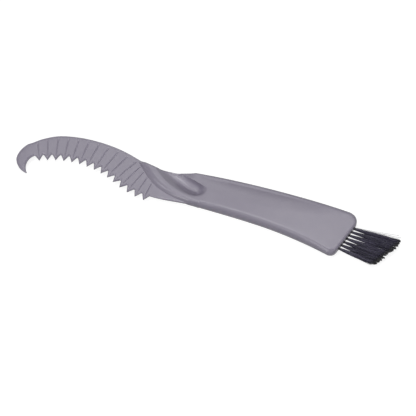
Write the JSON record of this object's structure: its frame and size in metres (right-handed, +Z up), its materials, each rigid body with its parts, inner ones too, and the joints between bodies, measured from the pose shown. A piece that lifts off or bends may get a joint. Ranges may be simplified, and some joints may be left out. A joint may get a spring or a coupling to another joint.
{
  "type": "sprocket cleaning brush",
  "caption": "Flat hand tool with a curved toothed claw that ends in a hook, a scooped neck, a flared handle and a row of stiff bristle tufts at the end.",
  "frame": {"origin": "middle of the flat land on the handle's back, which the tool rests on", "axes": "+X along the handle from the claw towards the bristles, +Y across it towards the smooth spine of the claw, +Z up through the thickness from the back to the crowned face"},
  "size_m": [0.2397, 0.0434, 0.0074],
  "materials": {
    "moulding": "satin grey moulded plastic",
    "bristle": "black nylon monofilament",
    "anchor": "plain wire"
  },
  "bodies": {
    "root": {"handle_and_claw": "moulding", "bristle_tuft_1": "bristle", "bristle_tuft_2": "bristle", "bristle_tuft_3": "bristle", "bristle_tuft_4": "bristle", "bristle_tuft_5": "bristle", "bristle_tuft_6": "bristle", "bristle_tuft_7": "bristle", "tuft_anchor_1": "anchor", "tuft_anchor_2": "anchor", "tuft_anchor_3": "anchor", "tuft_anchor_4": "anchor", "tuft_anchor_5": "anchor", "tuft_anchor_6": "anchor", "tuft_anchor_7": "anchor"}
  },
  "joints": []
}
